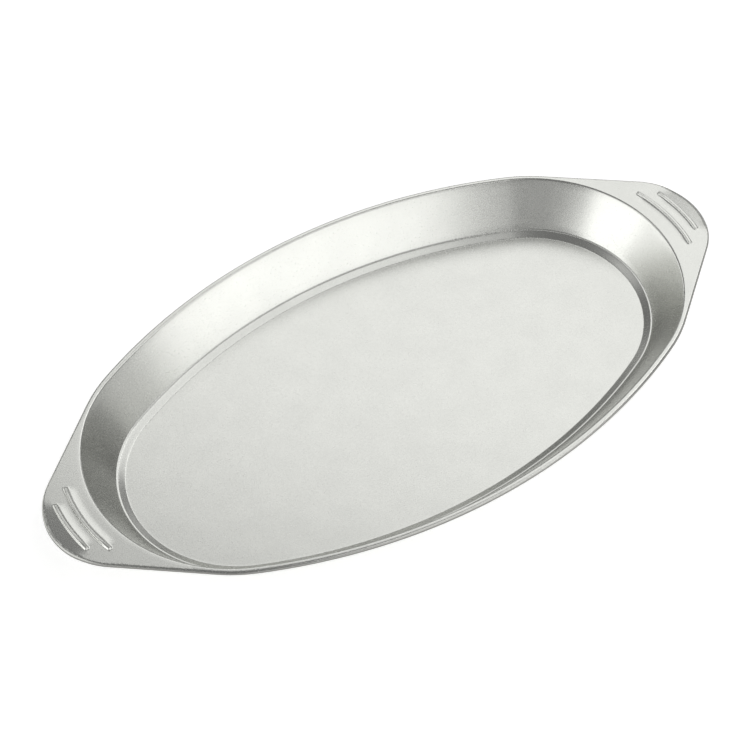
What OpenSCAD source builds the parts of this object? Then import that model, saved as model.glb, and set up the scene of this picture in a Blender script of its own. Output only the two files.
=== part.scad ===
// Oval serving tray pressed from one sheet of stainless steel: a flat floor, a narrow step band,
// a sloping wall, a flat rim that widens into an ear-shaped grip at each end, two pressed ribs on
// each grip, and an edge turned down all round.
// Millimetres. +X runs along the tray, +Y across it, +Z up. The origin is the centre of the
// underside, on the surface that the tray stands on.

/* [Opening] */
// Length of the opening, measured between the wall tops
opening_length = 344; // [334:1:348]
// Radius of the opening's two end arcs
end_radius = 81; // [76:1:86]
// Half the angle that each end arc covers, in degrees; a larger angle makes a narrower tray
end_angle = 64.5; // [60:0.5:68]

/* [Section] */
// Thickness of the sheet
sheet = 1; // [0.8:0.1:1.2]
// Inside depth, from the rim's top face to the floor
depth = 26; // [22:1:30]
// Horizontal run of the sloping wall
wall_run = 16.3; // [14:0.1:20]
// Horizontal run of the step band between the wall and the floor
step_run = 3.6; // [3:0.1:5]
// Rise of the step band
step_rise = 2.5; // [1.5:0.1:3]

/* [Rim and grips] */
// Width of the rim beside the opening
rim_width = 3; // [2.9:0.1:4]
// Drop of the turned-down edge below the rim's top face
edge_drop = 2; // [1.8:0.1:4]
// Length over both grips
overall_length = 400; // [400:1:412]
// Radius of each grip's outer end
grip_radius = 40; // [38:1:42]

/* [Ribs] */
// Distance of the inner rib's centreline from the end of the opening
inner_rib_offset = 10.6; // [9:0.1:11]
// Distance of the outer rib's centreline from the end of the opening
outer_rib_offset = 18.4; // [17.5:0.1:18.5]
// Half the angle that the inner rib covers, in degrees
inner_rib_angle = 14.6; // [12:0.1:15]
// Half the angle that the outer rib covers, in degrees
outer_rib_angle = 9.6; // [5:0.1:10]
// Height of a rib above the rim's top face
rib_height = 1.2; // [0.8:0.1:1.5]

/* [Hidden] */

// Radii of the bends, on the sheet's top face
floor_bend = 2;
step_bend = 2;
wall_top_bend = 2.4;
edge_bend = 1.4;

// Straight pieces in each bend of the section
shallow_pieces = 2;
deep_pieces = 3;

// Half the width of a rib at its foot, and the length of its sloping ends in degrees
rib_half_width = 2.4;
rib_end = 1;

// Centres and radii of the four arcs that make the opening: two end arcs and two side arcs
end_x = opening_length / 2 - end_radius;
centre_distance = end_x / cos(end_angle);
side_radius = end_radius + centre_distance;
side_y = centre_distance * sin(end_angle);

// The grip's outline: an arc at its outer end, and two straight sides tangent to the rim and the arc
rim_radius = end_radius + rim_width;
grip_centre = overall_length / 2 - end_x - grip_radius;
side_angle = acos((rim_radius - grip_radius) / grip_centre);
tip_angle = atan2(
    grip_radius * sin(side_angle),
    grip_centre + grip_radius * cos(side_angle)
);

// Heights of the sheet's top face
floor_top = sheet;
rim_top = sheet + depth;

// Headings of the section, in degrees above horizontal, going outwards
step_heading = atan2(step_rise, step_run);
wall_heading = atan2(depth - step_rise, wall_run);

function heading_normal(h) = [-sin(h), cos(h)];

// Stations [offset, height, heading] round a bend in the section. corner is where the two straight
// runs would meet.
function bend(corner, heading_in, heading_out, radius, pieces) =
    let (
        turn = heading_out - heading_in,
        side = sign(turn),
        back = radius * tan(abs(turn) / 2),
        start = corner - back * [cos(heading_in), sin(heading_in)],
        centre = start + side * radius * heading_normal(heading_in)
    )
    [for (i = [0 : pieces])
        let (
            h = heading_in + turn * i / pieces,
            p = centre - side * radius * heading_normal(h)
        )
        [p[0], p[1], h]];

// The height of a rib above the rim, at a place u across it (-1 to 1) and at an angle from the
// grip's middle: a smooth crest that runs down to nothing at each side and each end
function rib_rise(u, angle, half_angle) =
    rib_height * (1 + cos(180 * u)) / 2 * max(0, min(1, (half_angle - angle) / rib_end));

// Stations across one rib
rib_steps = [-1, -0.5, 0, 0.5, 1];
function rib_stations(offset, half_angle, angle) =
    [for (u = rib_steps)
        [offset + u * rib_half_width, rim_top + rib_rise(u, angle, half_angle), 0]];

// The section's top face, from the floor outwards, at an angle from the grip's middle. reach is the
// rim's width there. The runs are the bowl up to the rim, the ribs' part and the edge.
function bowl_run() = concat(
    bend([-wall_run - step_run, floor_top], 0, step_heading, floor_bend, shallow_pieces),
    bend([-wall_run, floor_top + step_rise], step_heading, wall_heading, step_bend, shallow_pieces),
    bend([0, rim_top], wall_heading, 0, wall_top_bend, deep_pieces)
);
function rib_run(angle) = concat(
    rib_stations(inner_rib_offset, inner_rib_angle, angle),
    rib_stations(outer_rib_offset, outer_rib_angle, angle)
);
function edge_run(reach) = concat(
    bend([reach, rim_top], 0, -90, edge_bend, deep_pieces),
    [[reach, rim_top - edge_drop, -90]]
);

// The closed section [offset, height]: out along the top face and back along the underside
function section(angle, reach) =
    let (
        top = concat(bowl_run(), rib_run(angle), edge_run(reach)),
        last = len(top) - 1
    )
    concat(
        [for (s = top) [s[0], s[1]]],
        [for (i = [last : -1 : 0])
            [top[i][0], top[i][1]] - sheet * heading_normal(top[i][2])]
    );

// Positions in the section: the first and last of the ribs' stations on the top face, where the
// edge starts, and how many stations the whole section has
rib_first = len(bowl_run());
rib_last = rib_first + 2 * len(rib_steps) - 1;
edge_first = rib_last + 1;
section_length = len(section(0, rim_width));

// A rib station that lies past the rim's flat part is left out, and the section's faces go to the
// edge's first station in its place. k counts along the top face and back along the underside.
function mirrored(k) = section_length - 1 - k;
function is_rib(k) = k >= rib_first && k <= rib_last;
function in_use(stops, reach, k) = stops[k][0] < reach - edge_bend;
function kept(stops, reach, k) =
    is_rib(k) && !in_use(stops, reach, k) ? edge_first
    : is_rib(mirrored(k)) && !in_use(stops, reach, mirrored(k)) ? mirrored(edge_first)
    : k;

// Stations [x, y, outward angle] along one arc of the opening, without the arc's last point
function arc_stations(centre, radius, from, to, pieces) =
    [for (i = [0 : pieces - 1])
        let (a = from + (to - from) * i / pieces)
        [centre[0] + radius * cos(a), centre[1] + radius * sin(a), a]];

// The angles from a grip's middle where the outline or a rib changes, with the pieces up to each
grip_breaks = [
    [outer_rib_angle - rib_end, 4],
    [outer_rib_angle, 1],
    [inner_rib_angle - rib_end, 2],
    [inner_rib_angle, 1],
    [tip_angle, 2],
    [side_angle, 6],
    [end_angle, 3]
];

// One end arc, from its first angle to its last, split at the breaks on both sides of the middle
function end_stations(x, facing) =
    let (count = len(grip_breaks))
    concat(
        [for (i = [count - 1 : -1 : 0])
            let (inner = i == 0 ? 0 : grip_breaks[i - 1][0])
            each arc_stations(
                [x, 0], end_radius, facing - grip_breaks[i][0], facing - inner, grip_breaks[i][1])],
        [for (i = [0 : count - 1])
            let (inner = i == 0 ? 0 : grip_breaks[i - 1][0])
            each arc_stations(
                [x, 0], end_radius, facing + inner, facing + grip_breaks[i][0], grip_breaks[i][1])]
    );

// The rim's width along an outward ray at an angle from the grip's middle
function grip_reach(angle) =
    angle < tip_angle ? grip_centre * cos(angle)
        + sqrt(pow(grip_radius, 2) - pow(grip_centre * sin(angle), 2)) - end_radius
    : angle < side_angle ? rim_radius / cos(side_angle - angle) - end_radius
    : rim_width;

// Stations [x, y, outward angle, angle from the grip's middle, reach] round the whole opening
function with_grip(stations, facing) =
    [for (s = stations)
        let (angle = abs(s[2] - facing))
        [s[0], s[1], s[2], angle, grip_reach(angle)]];
function with_rim(stations) =
    [for (s = stations) [s[0], s[1], s[2], 90, rim_width]];

side_pieces = 16;
outline = concat(
    with_grip(end_stations(end_x, 0), 0),
    with_rim(arc_stations([0, -side_y], side_radius, end_angle, 180 - end_angle, side_pieces)),
    with_grip(end_stations(-end_x, 180), 180),
    with_rim(arc_stations([0, side_y], side_radius, 180 + end_angle, 360 - end_angle, side_pieces))
);

// A face without the corners that it repeats
function tidy_face(f) =
    [for (i = [0 : len(f) - 1]) if (f[i] != f[(i + 1) % len(f)]) f[i]];

// The section swept round the outline and closed by the floor's two faces
module tray_pressing() {
    columns = len(outline);
    rows = section_length;
    sections = [for (s = outline) section(s[3], s[4])];
    points = [for (i = [0 : columns - 1]) for (q = sections[i])
        [outline[i][0] + q[0] * cos(outline[i][2]), outline[i][1] + q[0] * sin(outline[i][2]), q[1]]];
    skin = [for (i = [0 : columns - 1]) for (k = [0 : rows - 2])
        let (
            j = (i + 1) % columns,
            near = [for (m = [k, k + 1]) i * rows + kept(sections[i], outline[i][4], m)],
            far = [for (m = [k, k + 1]) j * rows + kept(sections[j], outline[j][4], m)],
            face = tidy_face([near[0], far[0], far[1], near[1]])
        )
        if (len(face) > 2) face];
    floor_face = [for (i = [columns - 1 : -1 : 0]) i * rows];
    underside = [for (i = [0 : columns - 1]) i * rows + rows - 1];
    color("silver")
        polyhedron(points = points, faces = concat(skin, [floor_face, underside]), convexity = 6);
}

tray_pressing();
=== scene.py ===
"""Oval serving tray of satin stainless steel, pressed from one sheet, on a pale studio floor.

Lengths are in metres and angles in degrees. +X runs along the tray, +Y across it and +Z up, and
the origin is the centre of the underside, as in the CAD model.
"""

import math

import bmesh
import bpy
from mathutils import Matrix, Vector


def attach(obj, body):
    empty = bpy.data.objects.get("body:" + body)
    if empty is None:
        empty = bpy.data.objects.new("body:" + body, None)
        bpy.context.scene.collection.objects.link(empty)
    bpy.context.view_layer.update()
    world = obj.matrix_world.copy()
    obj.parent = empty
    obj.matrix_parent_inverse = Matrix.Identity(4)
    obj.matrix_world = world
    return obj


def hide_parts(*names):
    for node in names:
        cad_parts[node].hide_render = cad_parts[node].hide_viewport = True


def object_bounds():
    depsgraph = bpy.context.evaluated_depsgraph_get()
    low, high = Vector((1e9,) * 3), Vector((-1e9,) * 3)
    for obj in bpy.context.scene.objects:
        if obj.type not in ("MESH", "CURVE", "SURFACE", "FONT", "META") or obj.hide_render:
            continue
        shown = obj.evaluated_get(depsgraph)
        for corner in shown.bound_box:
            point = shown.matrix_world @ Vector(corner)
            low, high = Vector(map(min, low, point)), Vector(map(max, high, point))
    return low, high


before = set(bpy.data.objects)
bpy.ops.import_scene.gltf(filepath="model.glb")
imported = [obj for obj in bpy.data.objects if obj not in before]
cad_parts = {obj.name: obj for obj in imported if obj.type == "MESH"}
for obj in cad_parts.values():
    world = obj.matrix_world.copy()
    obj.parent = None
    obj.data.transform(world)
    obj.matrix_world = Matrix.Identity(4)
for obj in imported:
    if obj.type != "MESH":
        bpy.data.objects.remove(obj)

cad_low, cad_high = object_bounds()
MM = 0.001

# ---------------------------------------------------------------- dimensions of the tray

OVERALL_LENGTH = cad_high.x - cad_low.x
OPENING_LENGTH = 344 * MM
END_RADIUS = 81 * MM
END_ANGLE = 64.5
SHEET = 1 * MM
DEPTH = 26 * MM
WALL_RUN = 15.5 * MM
# The step band between the wall and the floor: a slope, with a narrow ledge along its top
STEP_RUN = 4.6 * MM
STEP_RISE = 2.1 * MM
LEDGE_RUN = 1.0 * MM
LEDGE_RISE = 0.15 * MM
RIM_WIDTH = 3 * MM
EDGE_DROP = 2 * MM
GRIP_RADIUS = 40 * MM

# Each rib: distance of its crest from the end of the opening, and half the angle it covers
RIBS = [(10.6 * MM, 14.6), (18.4 * MM, 9.6)]
RIB_HEIGHT = cad_high.z - SHEET - DEPTH

# Radii of the bends on the sheet's top face
FLOOR_BEND = 1.2 * MM
LEDGE_BEND = 1.15 * MM
STEP_BEND = 0.8 * MM
WALL_TOP_BEND = 1.6 * MM
EDGE_BEND = 1.2 * MM
CUT_EDGE_ROUND = 0.3 * MM
# A flat row just inside the floor's bend, which keeps the bend's shading off the floor
FLOOR_MARGIN = 1 * MM

# Across a rib: a soft shoulder on its inner side, a steep face, a narrow crest and a second steep
# face. The shoulder takes a share of the rib's height.
RIB_SHOULDER = 4.2 * MM
RIB_SHOULDER_SHARE = 0.35
RIB_FACE = 0.8 * MM
RIB_CREST = 1.1 * MM
RIB_END_RUN = 1.0 * MM
RIB_SHOULDER_END_RUN = 6 * MM

# Outside the outer rib the grip's tip slopes gently down to its edge, by an angle that fades out
# over a run centred on each end of the rib
TIP_SLOPE = 5
TIP_SLOPE_START = RIBS[1][0] + RIB_CREST / 2 + RIB_FACE
TIP_SLOPE_END_RUN = 10 * MM

# How far the base colour darkens on the outer face of the turned edge, 0 to 1: painted shade,
# standing in for the darker reflection there
EDGE_PAINTED_SHADE = 0.8

# A quarter round's middle lies about this share of its radius in from both of its sides
ROUND_MIDDLE = 0.3

# Pieces of the mesh in each bend and straight of the section, from the floor outwards
FLOOR_BEND_PIECES = 8
DROP_PIECES = 3
LEDGE_BEND_PIECES = 6
LEDGE_PIECES = 2
STEP_BEND_PIECES = 8
WALL_PIECES = 8
WALL_TOP_PIECES = 12
EDGE_BEND_PIECES = 10

# Spacing of the mesh's rows across a grip, between two offsets: fine on a rib, coarse elsewhere
GRIP_ROWS_START = 2.5 * MM
GRIP_ROWS_END = 26.5 * MM
FINE_ROW = 0.16 * MM
COARSE_ROW = 0.7 * MM

# The mesh's columns are close together within this angle of each rib's end
RIB_END_MARGIN = 1
# Largest angle between the mesh's columns round the opening, from a grip's middle outwards: along
# the outer rib, round its end, on to the inner rib, round its end, then up to the tip's end, the
# grip's end and the end arc's end. The last one is for the side arcs.
END_COLUMNS = [0.9, 0.2, 0.9, 0.2, 0.6, 1.2, 1.6]
SIDE_COLUMN = 0.8

# The floor is filled with rings that shrink to a line this share of the ring's length
FLOOR_RINGS = 6
FLOOR_LINE = 0.45

# Points of the mesh that are closer than the first become one, and edges shorter than the second go
MERGE_DISTANCE = 0.01 * MM
SHORTEST_EDGE = 0.001 * MM

# Derived plan geometry: four arcs for the opening, and an arc with two tangents for each grip
END_X = OPENING_LENGTH / 2 - END_RADIUS
CENTRE_DISTANCE = END_X / math.cos(math.radians(END_ANGLE))
SIDE_RADIUS = END_RADIUS + CENTRE_DISTANCE
SIDE_Y = CENTRE_DISTANCE * math.sin(math.radians(END_ANGLE))
RIM_RADIUS = END_RADIUS + RIM_WIDTH
GRIP_CENTRE = OVERALL_LENGTH / 2 - END_X - GRIP_RADIUS
SIDE_ANGLE = math.degrees(math.acos((RIM_RADIUS - GRIP_RADIUS) / GRIP_CENTRE))
TIP_ANGLE = math.degrees(math.atan2(
    GRIP_RADIUS * math.sin(math.radians(SIDE_ANGLE)),
    GRIP_CENTRE + GRIP_RADIUS * math.cos(math.radians(SIDE_ANGLE)),
))
RIM_TOP = SHEET + DEPTH
DROP_HEADING = math.degrees(math.atan2(STEP_RISE - LEDGE_RISE, STEP_RUN - LEDGE_RUN))
LEDGE_HEADING = math.degrees(math.atan2(LEDGE_RISE, LEDGE_RUN))
WALL_HEADING = math.degrees(math.atan2(DEPTH - STEP_RISE, WALL_RUN))


# ---------------------------------------------------------------- the sheet's section

def direction(heading):
    h = math.radians(heading)
    return Vector((math.cos(h), math.sin(h)))


def bend(corner, heading_in, heading_out, radius, pieces):
    """Stations (point, heading, painted shade) round a bend whose straight runs would meet at corner;
    a bend carries no painted shade.
    """
    turn = heading_out - heading_in
    side = math.copysign(1, turn)
    start = Vector(corner) - direction(heading_in) * radius * math.tan(math.radians(abs(turn)) / 2)
    centre = start + direction(heading_in + 90) * side * radius
    stations = []
    for i in range(pieces + 1):
        heading = heading_in + turn * i / pieces
        stations.append((centre - direction(heading + 90) * side * radius, heading, 0))
    return stations


def straight(a, b, pieces):
    """The stations between two stations, without either of them."""
    return [(a[0].lerp(b[0], i / pieces), a[1], 0) for i in range(1, pieces)]


def bowl_run():
    """The section from the floor up the drop, over the narrow ledge and up the wall to the rim."""
    floor_corner = (-WALL_RUN - STEP_RUN, SHEET)
    ledge_corner = (-WALL_RUN - LEDGE_RUN, SHEET + STEP_RISE - LEDGE_RISE)
    wall_corner = (-WALL_RUN, SHEET + STEP_RISE)
    floor_bend = bend(floor_corner, 0, DROP_HEADING, FLOOR_BEND, FLOOR_BEND_PIECES)
    ledge_bend = bend(ledge_corner, DROP_HEADING, LEDGE_HEADING, LEDGE_BEND, LEDGE_BEND_PIECES)
    step_bend = bend(wall_corner, LEDGE_HEADING, WALL_HEADING, STEP_BEND, STEP_BEND_PIECES)
    wall_top = bend((0, RIM_TOP), WALL_HEADING, 0, WALL_TOP_BEND, WALL_TOP_PIECES)
    floor_margin = (floor_bend[0][0] - Vector((FLOOR_MARGIN, 0)), 0, 0)
    return (
        [floor_margin] + floor_bend + straight(floor_bend[-1], ledge_bend[0], DROP_PIECES)
        + ledge_bend + straight(ledge_bend[-1], step_bend[0], LEDGE_PIECES)
        + step_bend + straight(step_bend[-1], wall_top[0], WALL_PIECES) + wall_top
    )


def edge_run(reach, drop):
    """The section round the turned-down edge, to the bottom of its outer face.

    Painted shade darkens the base colour between a quarter and three quarters of the turn, standing
    in for a darker reflection, and is full from there down the outer face.
    """
    top = RIM_TOP - drop
    turned = bend((reach, top), 0, -90, EDGE_BEND, EDGE_BEND_PIECES)
    with_painted_shade = [
        (place, heading, EDGE_PAINTED_SHADE * smooth(-heading / 90 * 2 - 0.5))
        for place, heading, _ in turned
    ]
    foot = (Vector((reach, top - EDGE_DROP + CUT_EDGE_ROUND)), -90, EDGE_PAINTED_SHADE)
    return with_painted_shade + [foot]


def smooth(t):
    t = min(1, max(0, t))
    return t * t * (3 - 2 * t)


def rib_shoulder(u):
    """Height of a rib's shoulder, as a share, at a distance u outwards from the crest's middle."""
    if u < -RIB_CREST / 2 - RIB_FACE:
        along = max(0, 1 + (u + RIB_CREST / 2 + RIB_FACE) / RIB_SHOULDER)
        return RIB_SHOULDER_SHARE * along**2
    return RIB_SHOULDER_SHARE * (1 - smooth((u - RIB_CREST / 2) / RIB_FACE))


def rib_ridge(u):
    """Height that the ridge adds to the shoulder, as a share."""
    return (1 - RIB_SHOULDER_SHARE) * (1 - smooth((abs(u) - RIB_CREST / 2) / RIB_FACE))


def rib_rise(offset, angle):
    """Height of the ribs above the flat rim."""
    rise = 0
    for crest, half_angle in RIBS:
        u = offset - crest
        to_end = (half_angle - angle) * math.radians(END_RADIUS + crest)
        share = (
            rib_shoulder(u) * smooth(to_end / RIB_SHOULDER_END_RUN)
            + rib_ridge(u) * smooth(to_end / RIB_END_RUN + 0.5)
        )
        rise = max(rise, RIB_HEIGHT * share)
    return rise


def tip_drop(offset, angle):
    """How far the grip's tip lies below the rim, outside the outer rib and near its ends."""
    beyond = max(0, offset - TIP_SLOPE_START)
    past_rib_end = (angle - RIBS[1][1]) * math.radians(END_RADIUS + RIBS[1][0])
    level = smooth(past_rib_end / TIP_SLOPE_END_RUN + 0.5)
    return beyond * math.tan(math.radians(TIP_SLOPE)) * (1 - level)


def rib_offsets():
    """Offsets of the rows across a grip: close on the ribs, and wider between them."""
    steep = RIB_CREST / 2 + RIB_FACE + FINE_ROW
    offsets = []
    place = GRIP_ROWS_START
    while place < GRIP_ROWS_END:
        offsets.append(place)
        on_rib = any(abs(place - crest) < steep for crest, _ in RIBS)
        place += FINE_ROW if on_rib else COARSE_ROW
    return offsets


# ---------------------------------------------------------------- the sheet's outline

def grip_reach(angle):
    """The rim's width along an outward ray at an angle from the grip's middle."""
    a = math.radians(angle)
    if angle < TIP_ANGLE:
        across = GRIP_CENTRE * math.sin(a)
        return GRIP_CENTRE * math.cos(a) + math.sqrt(GRIP_RADIUS**2 - across**2) - END_RADIUS
    if angle < SIDE_ANGLE:
        return RIM_RADIUS / math.cos(math.radians(SIDE_ANGLE) - a) - END_RADIUS
    return RIM_WIDTH


def steps(start, stop, size):
    """Evenly spaced values from start up to stop, without stop, at most size apart."""
    count = max(1, math.ceil(abs(stop - start) / size))
    return [start + (stop - start) * i / count for i in range(count)]


def end_angles():
    """Angles from a grip's middle over one end arc, close at the ribs' ends and on the tip."""
    breaks = [0]
    for _, half_angle in sorted(RIBS, key=lambda rib: rib[1]):
        breaks += [half_angle - RIB_END_MARGIN, half_angle + RIB_END_MARGIN]
    breaks += [TIP_ANGLE, SIDE_ANGLE, END_ANGLE]
    half = []
    for a, b, size in zip(breaks, breaks[1:], END_COLUMNS):
        half += steps(a, b, size)
    return [-a for a in reversed(half[1:] + [END_ANGLE])] + half


def outline():
    """Stations (point, outward angle, angle from the grip's middle, reach) round the opening."""
    stations = []

    def add(x, y, radius, facing, angle):
        a = math.radians(facing)
        point = Vector((x + radius * math.cos(a), y + radius * math.sin(a)))
        stations.append((point, a, angle, grip_reach(angle)))

    for side in (1, -1):
        middle = 0 if side > 0 else 180
        for angle in end_angles():
            add(side * END_X, 0, END_RADIUS, middle + angle, abs(angle))
        for angle in steps(END_ANGLE, 180 - END_ANGLE, SIDE_COLUMN):
            add(0, -side * SIDE_Y, SIDE_RADIUS, middle + angle, 90)
    return stations


# ---------------------------------------------------------------- the mesh

def section(angle, reach):
    """The section: stations along the top face, round the cut edge and back along the underside."""
    edge = edge_run(reach, tip_drop(reach, angle))
    flat_end = edge[0][0].x
    flat = []
    for offset in rib_offsets():
        height = RIM_TOP + rib_rise(offset, angle) - tip_drop(offset, angle)
        flat.append((Vector((offset, height)), 0, 0) if offset < flat_end else edge[0])
    top = bowl_run() + flat + edge
    # The underside takes the same painted shade as the top face opposite, and the cut edge below
    # takes it in full
    under = [(place - direction(heading + 90) * SHEET, heading, painted_shade_amount) for place, heading, painted_shade_amount in top]
    outer, inner = top[-1][0], under[-1][0]
    bottom = outer.y - CUT_EDGE_ROUND
    corner = CUT_EDGE_ROUND * ROUND_MIDDLE
    cut = [
        (outer.x - corner, bottom + corner),
        (outer.x - CUT_EDGE_ROUND, bottom),
        (inner.x + CUT_EDGE_ROUND, bottom),
        (inner.x + corner, bottom + corner),
    ]
    return top + [(Vector(place), -90, EDGE_PAINTED_SHADE) for place in cut] + under[::-1]


def make_tray():
    """One closed mesh: the section swept round the outline, and a floor face on each side."""
    mesh = bmesh.new()
    # Per-vertex share of painted shade: a darker base colour on the turned edge, standing in for a
    # darker reflection
    painted_shade = mesh.verts.layers.float.new("painted_shade")
    columns = []
    for point, facing, angle, reach in outline():
        outward = Vector((math.cos(facing), math.sin(facing)))
        column = []
        for place, _, painted_shade_amount in section(angle, reach):
            flat_place = point + outward * place.x
            vertex = mesh.verts.new((flat_place.x, flat_place.y, place.y))
            vertex[painted_shade] = painted_shade_amount
            column.append(vertex)
        columns.append(column)
    for column, following in zip(columns, columns[1:] + columns[:1]):
        for k in range(len(column) - 1):
            mesh.faces.new((column[k], column[k + 1], following[k + 1], following[k]))
    fill_floor(mesh, [column[0] for column in columns], up=True)
    fill_floor(mesh, [column[-1] for column in columns], up=False)
    bmesh.ops.remove_doubles(mesh, verts=mesh.verts, dist=MERGE_DISTANCE)
    bmesh.ops.dissolve_degenerate(mesh, edges=mesh.edges, dist=SHORTEST_EDGE)
    bmesh.ops.recalc_face_normals(mesh, faces=mesh.faces)
    data = bpy.data.meshes.new("tray")
    mesh.to_mesh(data)
    mesh.free()
    data.shade_smooth()
    tray = bpy.data.objects.new("tray", data)
    bpy.context.scene.collection.objects.link(tray)
    return tray


def fill_floor(mesh, ring, up):
    """Closes a floor face with rings that shrink towards a centre line, then one last face."""
    previous = ring
    for i in range(1, FLOOR_RINGS + 1):
        scale = 1 - i / (FLOOR_RINGS + 1)
        length_scale = FLOOR_LINE + (1 - FLOOR_LINE) * scale
        current = [
            mesh.verts.new((v.co.x * length_scale, v.co.y * scale, v.co.z)) for v in ring
        ]
        for k in range(len(ring)):
            j = (k + 1) % len(ring)
            face = (previous[k], previous[j], current[j], current[k])
            mesh.faces.new(face if up else face[::-1])
        previous = current
    mesh.faces.new(previous if up else previous[::-1])


# ---------------------------------------------------------------- materials

WHITE = (1, 1, 1, 1)
STEEL_DARKER = (0.595, 0.600, 0.572, 1)
STEEL_LIGHTER = (0.625, 0.630, 0.600, 1)
# Painted shade: the dark base colour mixed into the turned edge, standing in for a darker reflection
STEEL_PAINTED_SHADE = (0.16, 0.16, 0.15, 1)
GRAIN_SCALE = 1400
GRAIN_DETAIL = 3
MOTTLE_SCALE = 55
MOTTLE_DETAIL = 4
# Both noises lie mostly between these two values
NOISE_LOW, NOISE_HIGH = 0.3, 0.7
ROUGHNESS_LOW, ROUGHNESS_HIGH = 0.24, 0.28
GRAIN_BUMP_STRENGTH = 0.01
GRAIN_BUMP_HEIGHT = 0.05 * MM
FLOOR_COLOUR = (0.86, 0.86, 0.86, 1)
FLOOR_ROUGHNESS = 0.8
FLOOR_GLOW = 0.5


def satin_steel():
    """Satin steel: a fine even grain, faint mottling, and painted shade, a darker base colour, on the
    turned edge.
    """
    material = bpy.data.materials.new("tray_satin_steel")
    material.use_nodes = True
    nodes, links = material.node_tree.nodes, material.node_tree.links
    shader = nodes["Principled BSDF"]
    shader.inputs["Metallic"].default_value = 1.0

    place = nodes.new("ShaderNodeTexCoord")
    grain = nodes.new("ShaderNodeTexNoise")
    grain.inputs["Scale"].default_value = GRAIN_SCALE
    grain.inputs["Detail"].default_value = GRAIN_DETAIL
    mottle = nodes.new("ShaderNodeTexNoise")
    mottle.inputs["Scale"].default_value = MOTTLE_SCALE
    mottle.inputs["Detail"].default_value = MOTTLE_DETAIL
    for texture in (grain, mottle):
        links.new(place.outputs["Object"], texture.inputs["Vector"])

    polished = nodes.new("ShaderNodeValToRGB")
    polished.color_ramp.elements[0].position = NOISE_LOW
    polished.color_ramp.elements[0].color = STEEL_DARKER
    polished.color_ramp.elements[1].position = NOISE_HIGH
    polished.color_ramp.elements[1].color = STEEL_LIGHTER
    links.new(mottle.outputs["Fac"], polished.inputs["Fac"])

    # Painted shade: the attribute mixes a dark base colour into the turned edge, standing in for a
    # darker reflection
    painted_shade_amount = nodes.new("ShaderNodeAttribute")
    painted_shade_amount.attribute_name = "painted_shade"
    colour = nodes.new("ShaderNodeMix")
    colour.data_type = "RGBA"
    links.new(painted_shade_amount.outputs["Fac"], colour.inputs["Factor"])
    links.new(polished.outputs["Color"], colour.inputs["A"])
    colour.inputs["B"].default_value = STEEL_PAINTED_SHADE
    links.new(colour.outputs["Result"], shader.inputs["Base Color"])

    roughness = nodes.new("ShaderNodeMapRange")
    roughness.inputs["From Min"].default_value = NOISE_LOW
    roughness.inputs["From Max"].default_value = NOISE_HIGH
    roughness.inputs["To Min"].default_value = ROUGHNESS_LOW
    roughness.inputs["To Max"].default_value = ROUGHNESS_HIGH
    links.new(grain.outputs["Fac"], roughness.inputs["Value"])
    links.new(roughness.outputs["Result"], shader.inputs["Roughness"])

    bump = nodes.new("ShaderNodeBump")
    bump.inputs["Strength"].default_value = GRAIN_BUMP_STRENGTH
    bump.inputs["Distance"].default_value = GRAIN_BUMP_HEIGHT
    links.new(grain.outputs["Fac"], bump.inputs["Height"])
    links.new(bump.outputs["Normal"], shader.inputs["Normal"])
    return material


def plain_floor():
    """A pale, softly backlit table surface."""
    material = bpy.data.materials.new("studio_floor")
    material.use_nodes = True
    shader = material.node_tree.nodes["Principled BSDF"]
    shader.inputs["Base Color"].default_value = FLOOR_COLOUR
    shader.inputs["Roughness"].default_value = FLOOR_ROUGHNESS
    shader.inputs["Emission Color"].default_value = WHITE
    shader.inputs["Emission Strength"].default_value = FLOOR_GLOW
    return material


# ---------------------------------------------------------------- studio

FLOOR_HALF_SIZE = 6.0
# From the middle of the scene to each soft box
LIGHT_DISTANCE = 2.4


def make_floor():
    """A plain square floor at the height of the surface that the tray stands on."""
    data = bpy.data.meshes.new("studio_floor")
    size = FLOOR_HALF_SIZE
    corners = [(-size, -size, 0), (size, -size, 0), (size, size, 0), (-size, size, 0)]
    data.from_pydata(corners, [], [(0, 1, 2, 3)])
    floor = bpy.data.objects.new("studio_floor", data)
    floor.location.z = cad_low.z
    floor.data.materials.append(plain_floor())
    bpy.context.scene.collection.objects.link(floor)


def soft_box(name, azimuth, elevation, across, up, brightness):
    """A rectangular light that faces the tray, given by the angles that it covers."""
    data = bpy.data.lights.new(name, "AREA")
    data.shape = "RECTANGLE"
    data.size = 2 * LIGHT_DISTANCE * math.tan(math.radians(across) / 2)
    data.size_y = 2 * LIGHT_DISTANCE * math.tan(math.radians(up) / 2)
    data.energy = math.pi * data.size * data.size_y * brightness
    light = bpy.data.objects.new(name, data)
    a, e = math.radians(azimuth), math.radians(elevation)
    towards = Vector((math.cos(a) * math.cos(e), math.sin(a) * math.cos(e), math.sin(e)))
    light.location = towards * LIGHT_DISTANCE
    light.rotation_euler = towards.to_track_quat("Z", "Y").to_euler()
    bpy.context.scene.collection.objects.link(light)


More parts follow.
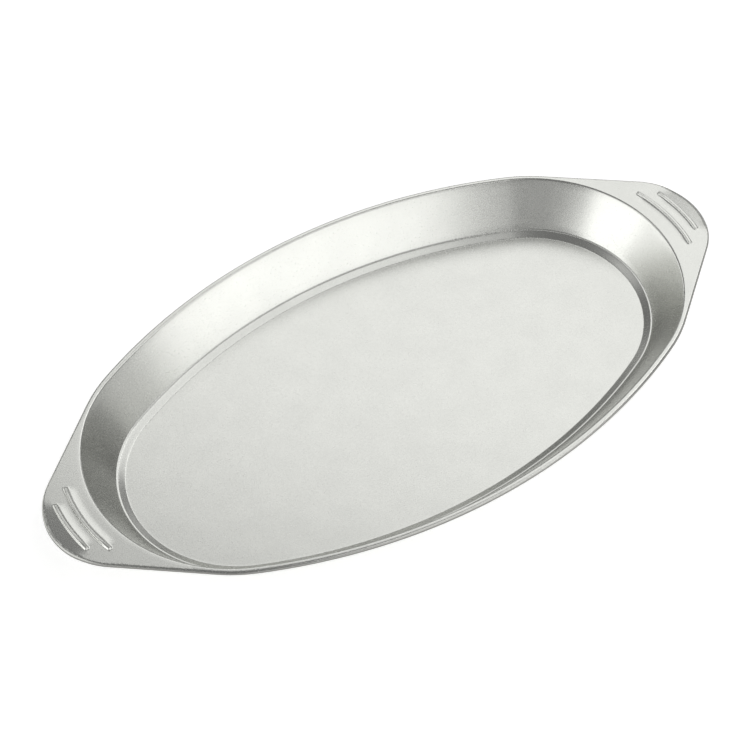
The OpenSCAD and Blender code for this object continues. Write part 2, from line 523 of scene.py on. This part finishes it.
# Name, azimuth from +X, elevation, angle across, angle up, brightness in steps of a quarter. Dark
# gaps between the boxes give the wall its grey stretches.
SOFT_BOXES = [
    ("back_high", 42, 48, 50, 24, 1.25),
    ("back_low", 64, 18, 36, 30, 0.25),
    ("back_right_low", 28, 10, 34, 18, 0.5),
    ("right_high", -15, 50, 50, 20, 0.75),
    ("right_low", -24, 6, 36, 14, 0.5),
    ("front_high", -45, 68, 60, 14, 1.25),
    ("front_middle_high", -62, 46, 44, 14, 1.0),
    ("front_middle", -72, 27, 48, 18, 1.25),
    ("front_low", -82, 8, 76, 18, 2.0),
    ("front_left", -132, 20, 24, 30, 0.25),
    ("back_left_high", 128, 46, 28, 20, 0.5),
    ("left_high", 165, 48, 50, 20, 0.75),
    ("left_middle", 170, 27, 40, 18, 1.25),
    ("left_low", 186, 9, 60, 18, 2.0),
    ("back_left_low", 126, 9, 60, 18, 1.5),
]
WORLD_STRENGTH = 0.2


def make_light():
    """A dim even world and the soft boxes."""
    world = bpy.data.worlds.new("studio")
    bpy.context.scene.world = world
    world.use_nodes = True
    background = world.node_tree.nodes["Background"]
    background.inputs["Color"].default_value = WHITE
    background.inputs["Strength"].default_value = WORLD_STRENGTH
    for box in SOFT_BOXES:
        soft_box(*box)


# The camera stands front-left of the tray and above it. It is aimed at the rim's centre, rolled,
# and then panned and tilted a little. Its azimuth is measured from -Y, and its lens is in mm.
CAMERA_AZIMUTH = -31.9
CAMERA_ELEVATION = 49.2
CAMERA_ROLL = -2.3
CAMERA_DISTANCE = 1.3
CAMERA_LENS = 120
CAMERA_PAN = -0.32
CAMERA_TILT = 0.32
CAMERA_SENSOR = 36
CAMERA_NEAR, CAMERA_FAR = 0.05, 50


def make_camera():
    """The one camera, placed and turned by the values above."""
    data = bpy.data.cameras.new("camera")
    data.lens = CAMERA_LENS
    data.sensor_width = CAMERA_SENSOR
    camera = bpy.data.objects.new("camera", data)
    a, e = math.radians(CAMERA_AZIMUTH), math.radians(CAMERA_ELEVATION)
    back = Vector((math.sin(a) * math.cos(e), -math.cos(a) * math.cos(e), math.sin(e)))
    right = Vector((0, 0, 1)).cross(back).normalized()
    up = back.cross(right)
    aimed = Matrix((right, up, back))
    turned = (
        Matrix.Rotation(math.radians(CAMERA_TILT), 3, "X")
        @ Matrix.Rotation(math.radians(CAMERA_PAN), 3, "Y")
        @ Matrix.Rotation(math.radians(-CAMERA_ROLL), 3, "Z")
        @ aimed
    )
    rim_centre = Vector((0, 0, RIM_TOP))
    camera.matrix_world = (
        Matrix.Translation(rim_centre + back * CAMERA_DISTANCE) @ turned.transposed().to_4x4()
    )
    data.clip_start, data.clip_end = CAMERA_NEAR, CAMERA_FAR
    bpy.context.scene.collection.objects.link(camera)
    bpy.context.scene.camera = camera


bpy.context.scene.view_settings.view_transform = "Standard"
make_camera()
make_floor()
make_light()

tray = make_tray()
tray.data.materials.append(satin_steel())
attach(tray, "root")
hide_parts("tray_pressing")
